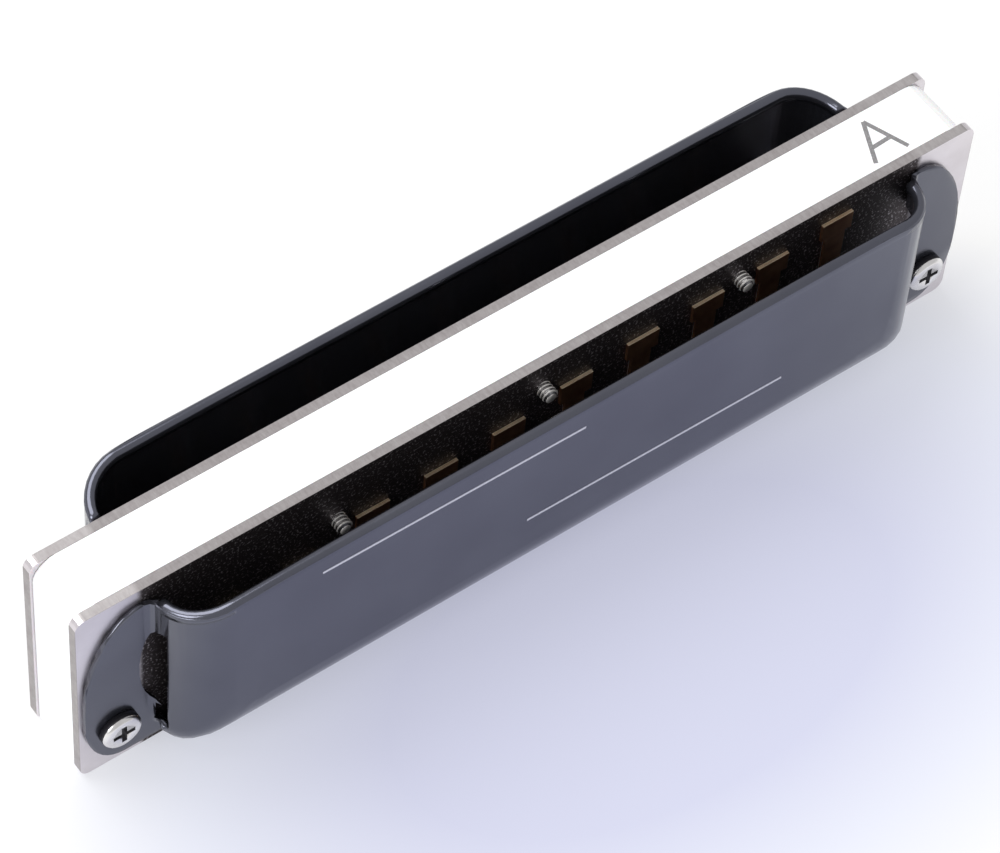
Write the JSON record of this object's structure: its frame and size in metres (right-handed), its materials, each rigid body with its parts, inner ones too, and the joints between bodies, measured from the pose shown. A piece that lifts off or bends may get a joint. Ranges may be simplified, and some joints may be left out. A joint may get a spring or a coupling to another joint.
{
  "type": "diatonic harmonica",
  "caption": "Pocket diatonic harmonica: white comb between two slotted reed plates with swinging reeds, under two pressed metal covers open at the back.",
  "frame": {"origin": "middle of the mouthpiece edge, on the surface that the instrument stands on", "axes": "+X along the instrument towards the lowest hole, +Y towards the blow side, +Z from the mouthpiece edge to the open back"},
  "size_m": [0.1002, 0.02, 0.0249],
  "materials": {
    "comb_plastic": "white moulded plastic, satin gloss",
    "reed_plate": "nickel-silver coloured brass, polished faces and brushed edges",
    "reed_bronze": "bronze strip, fine ground",
    "cover_coating": "dark gunmetal coat on pressed steel, glossy",
    "screw_steel": "bright nickel-plated steel"
  },
  "bodies": {
    "harmonica": {"comb": "comb_plastic", "draw_reed_plate": "reed_plate", "blow_reed_plate": "reed_plate", "draw_cover": "cover_coating", "blow_cover": "cover_coating", "draw_reed_heel_1": "reed_bronze", "draw_reed_heel_2": "reed_bronze", "draw_reed_heel_3": "reed_bronze", "draw_reed_heel_4": "reed_bronze", "draw_reed_heel_5": "reed_bronze", "draw_reed_heel_6": "reed_bronze", "draw_reed_heel_7": "reed_bronze", "draw_reed_heel_8": "reed_bronze", "draw_reed_heel_9": "reed_bronze", "draw_reed_heel_10": "reed_bronze", "blow_reed_heel_1": "reed_bronze", "blow_reed_heel_2": "reed_bronze", "blow_reed_heel_3": "reed_bronze", "blow_reed_heel_4": "reed_bronze", "blow_reed_heel_5": "reed_bronze", "blow_reed_heel_6": "reed_bronze", "blow_reed_heel_7": "reed_bronze", "blow_reed_heel_8": "reed_bronze", "blow_reed_heel_9": "reed_bronze", "blow_reed_heel_10": "reed_bronze", "cover_screw_left": "screw_steel", "cover_screw_right": "screw_steel", "cover_nut_left": "screw_steel", "cover_nut_right": "screw_steel", "plate_screw_1": "screw_steel", "plate_screw_2": "screw_steel", "plate_screw_3": "screw_steel"},
    "draw_reed_1": {"draw_reed_tongue_1": "reed_bronze"},
    "draw_reed_2": {"draw_reed_tongue_2": "reed_bronze"},
    "draw_reed_3": {"draw_reed_tongue_3": "reed_bronze"},
    "draw_reed_4": {"draw_reed_tongue_4": "reed_bronze"},
    "draw_reed_5": {"draw_reed_tongue_5": "reed_bronze"},
    "draw_reed_6": {"draw_reed_tongue_6": "reed_bronze"},
    "draw_reed_7": {"draw_reed_tongue_7": "reed_bronze"},
    "draw_reed_8": {"draw_reed_tongue_8": "reed_bronze"},
    "draw_reed_9": {"draw_reed_tongue_9": "reed_bronze"},
    "draw_reed_10": {"draw_reed_tongue_10": "reed_bronze"},
    "blow_reed_1": {"blow_reed_tongue_1": "reed_bronze"},
    "blow_reed_2": {"blow_reed_tongue_2": "reed_bronze"},
    "blow_reed_3": {"blow_reed_tongue_3": "reed_bronze"},
    "blow_reed_4": {"blow_reed_tongue_4": "reed_bronze"},
    "blow_reed_5": {"blow_reed_tongue_5": "reed_bronze"},
    "blow_reed_6": {"blow_reed_tongue_6": "reed_bronze"},
    "blow_reed_7": {"blow_reed_tongue_7": "reed_bronze"},
    "blow_reed_8": {"blow_reed_tongue_8": "reed_bronze"},
    "blow_reed_9": {"blow_reed_tongue_9": "reed_bronze"},
    "blow_reed_10": {"blow_reed_tongue_10": "reed_bronze"}
  },
  "joints": [
    {"name": "draw_reed_flex_1", "type": "hinge", "parent": "harmonica", "child": "draw_reed_1", "pos_m": [0.03375, -0.00432, 0.02034], "axis": [1, 0, 0], "range_deg": [-3.9, 3.9], "stiffness_Nm_per_rad": 0.031},
    {"name": "draw_reed_flex_2", "type": "hinge", "parent": "harmonica", "child": "draw_reed_2", "pos_m": [0.02625, -0.00432, 0.01934], "axis": [1, 0, 0], "range_deg": [-4.1, 4.1], "stiffness_Nm_per_rad": 0.0325},
    {"name": "draw_reed_flex_3", "type": "hinge", "parent": "harmonica", "child": "draw_reed_3", "pos_m": [0.01875, -0.00432, 0.01894], "axis": [1, 0, 0], "range_deg": [-4.3, 4.3], "stiffness_Nm_per_rad": 0.0329},
    {"name": "draw_reed_flex_4", "type": "hinge", "parent": "harmonica", "child": "draw_reed_4", "pos_m": [0.01125, -0.00432, 0.01864], "axis": [1, 0, 0], "range_deg": [-4.3, 4.3], "stiffness_Nm_per_rad": 0.033},
    {"name": "draw_reed_flex_5", "type": "hinge", "parent": "harmonica", "child": "draw_reed_5", "pos_m": [0.00375, -0.00432, 0.01754], "axis": [1, 0, 0], "range_deg": [-4.7, 4.7], "stiffness_Nm_per_rad": 0.0351},
    {"name": "draw_reed_flex_6", "type": "hinge", "parent": "harmonica", "child": "draw_reed_6", "pos_m": [-0.00375, -0.00432, 0.01594], "axis": [1, 0, 0], "range_deg": [-5.3, 5.3], "stiffness_Nm_per_rad": 0.0391},
    {"name": "draw_reed_flex_7", "type": "hinge", "parent": "harmonica", "child": "draw_reed_7", "pos_m": [-0.01125, -0.00432, 0.01524], "axis": [1, 0, 0], "range_deg": [-5.7, 5.7], "stiffness_Nm_per_rad": 0.0408},
    {"name": "draw_reed_flex_8", "type": "hinge", "parent": "harmonica", "child": "draw_reed_8", "pos_m": [-0.01875, -0.00432, 0.01494], "axis": [1, 0, 0], "range_deg": [-5.8, 5.8], "stiffness_Nm_per_rad": 0.0412},
    {"name": "draw_reed_flex_9", "type": "hinge", "parent": "harmonica", "child": "draw_reed_9", "pos_m": [-0.02625, -0.00432, 0.01434], "axis": [1, 0, 0], "range_deg": [-6.2, 6.2], "stiffness_Nm_per_rad": 0.0428},
    {"name": "draw_reed_flex_10", "type": "hinge", "parent": "harmonica", "child": "draw_reed_10", "pos_m": [-0.03375, -0.00432, 0.01384], "axis": [1, 0, 0], "range_deg": [-6.5, 6.5], "stiffness_Nm_per_rad": 0.0442},
    {"name": "blow_reed_flex_1", "type": "hinge", "parent": "harmonica", "child": "blow_reed_1", "pos_m": [0.03375, 0.00299, 0.00486], "axis": [1, 0, 0], "range_deg": [-4.1, 4.1], "stiffness_Nm_per_rad": 0.0325},
    {"name": "blow_reed_flex_2", "type": "hinge", "parent": "harmonica", "child": "blow_reed_2", "pos_m": [0.02625, 0.00299, 0.00486], "axis": [1, 0, 0], "range_deg": [-4.3, 4.3], "stiffness_Nm_per_rad": 0.0335},
    {"name": "blow_reed_flex_3", "type": "hinge", "parent": "harmonica", "child": "blow_reed_3", "pos_m": [0.01875, 0.00299, 0.00486], "axis": [1, 0, 0], "range_deg": [-4.5, 4.5], "stiffness_Nm_per_rad": 0.0345},
    {"name": "blow_reed_flex_4", "type": "hinge", "parent": "harmonica", "child": "blow_reed_4", "pos_m": [0.01125, 0.00299, 0.00486], "axis": [1, 0, 0], "range_deg": [-4.7, 4.7], "stiffness_Nm_per_rad": 0.0356},
    {"name": "blow_reed_flex_5", "type": "hinge", "parent": "harmonica", "child": "blow_reed_5", "pos_m": [0.00375, 0.00299, 0.00486], "axis": [1, 0, 0], "range_deg": [-4.9, 4.9], "stiffness_Nm_per_rad": 0.0369},
    {"name": "blow_reed_flex_6", "type": "hinge", "parent": "harmonica", "child": "blow_reed_6", "pos_m": [-0.00375, 0.00299, 0.00486], "axis": [1, 0, 0], "range_deg": [-5.2, 5.2], "stiffness_Nm_per_rad": 0.0382},
    {"name": "blow_reed_flex_7", "type": "hinge", "parent": "harmonica", "child": "blow_reed_7", "pos_m": [-0.01125, 0.00299, 0.00486], "axis": [1, 0, 0], "range_deg": [-5.5, 5.5], "stiffness_Nm_per_rad": 0.0398},
    {"name": "blow_reed_flex_8", "type": "hinge", "parent": "harmonica", "child": "blow_reed_8", "pos_m": [-0.01875, 0.00299, 0.00486], "axis": [1, 0, 0], "range_deg": [-5.9, 5.9], "stiffness_Nm_per_rad": 0.0415},
    {"name": "blow_reed_flex_9", "type": "hinge", "parent": "harmonica", "child": "blow_reed_9", "pos_m": [-0.02625, 0.00299, 0.00486], "axis": [1, 0, 0], "range_deg": [-6.3, 6.3], "stiffness_Nm_per_rad": 0.0435},
    {"name": "blow_reed_flex_10", "type": "hinge", "parent": "harmonica", "child": "blow_reed_10", "pos_m": [-0.03375, 0.00299, 0.00486], "axis": [1, 0, 0], "range_deg": [-6.7, 6.7], "stiffness_Nm_per_rad": 0.0458}
  ]
}
